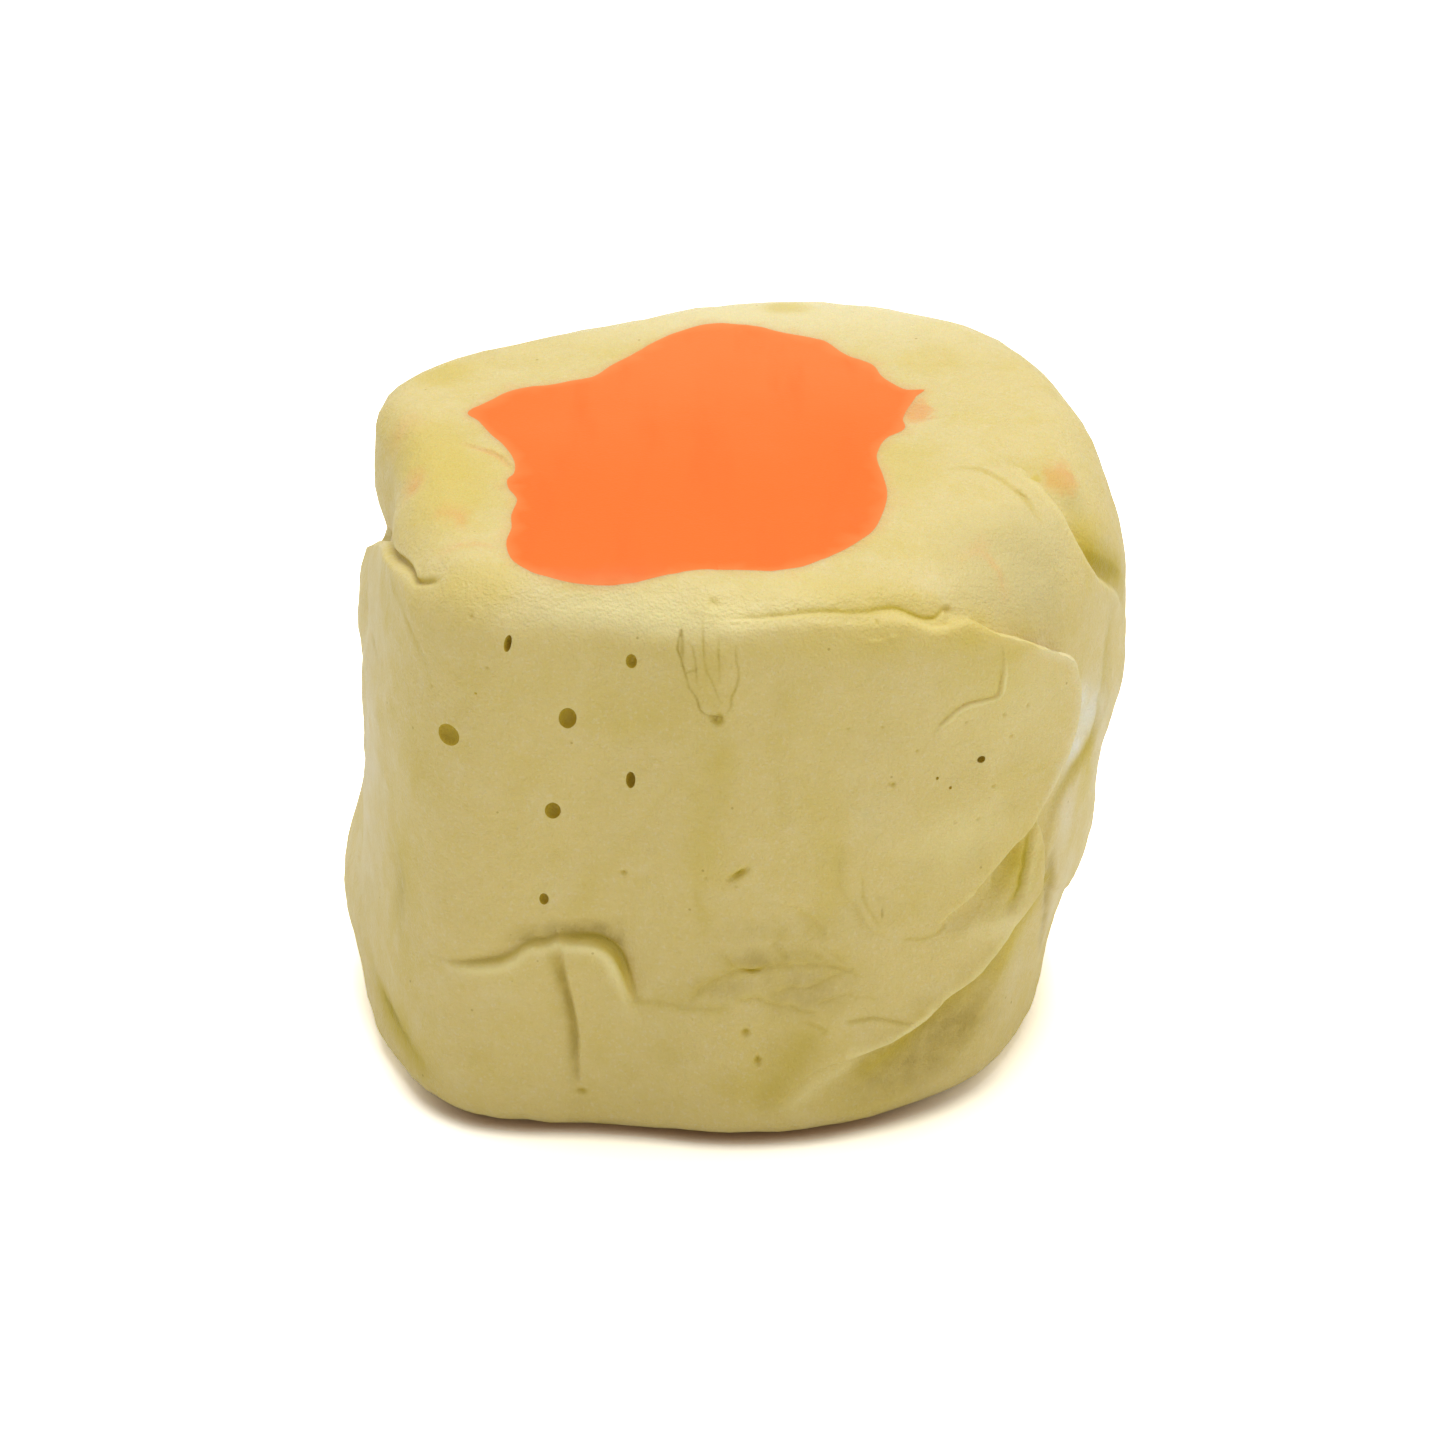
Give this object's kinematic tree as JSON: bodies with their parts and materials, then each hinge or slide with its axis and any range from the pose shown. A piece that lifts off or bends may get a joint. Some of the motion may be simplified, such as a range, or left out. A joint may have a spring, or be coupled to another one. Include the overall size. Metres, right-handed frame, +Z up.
{
  "type": "salt water taffy",
  "caption": "Soft pulled candy cut from a rope and stood on end: a pale lime jacket wrapped in overlapping sheets round an orange centre that shows at the cut ends.",
  "frame": {"origin": "middle of the bounding box's foot, on the surface that the candy stands on", "axes": "+Z up along the rope that the candy was cut from, -Y towards the side with the air holes, +X towards the loose sheet edges"},
  "size_m": [0.0232, 0.0206, 0.0178],
  "materials": {
    "jacket": "waxy satin, pale lime yellow, with faint orange smears",
    "centre": "smooth matt orange"
  },
  "bodies": {
    "root": {"jacket": "jacket", "centre": "centre"}
  },
  "joints": []
}
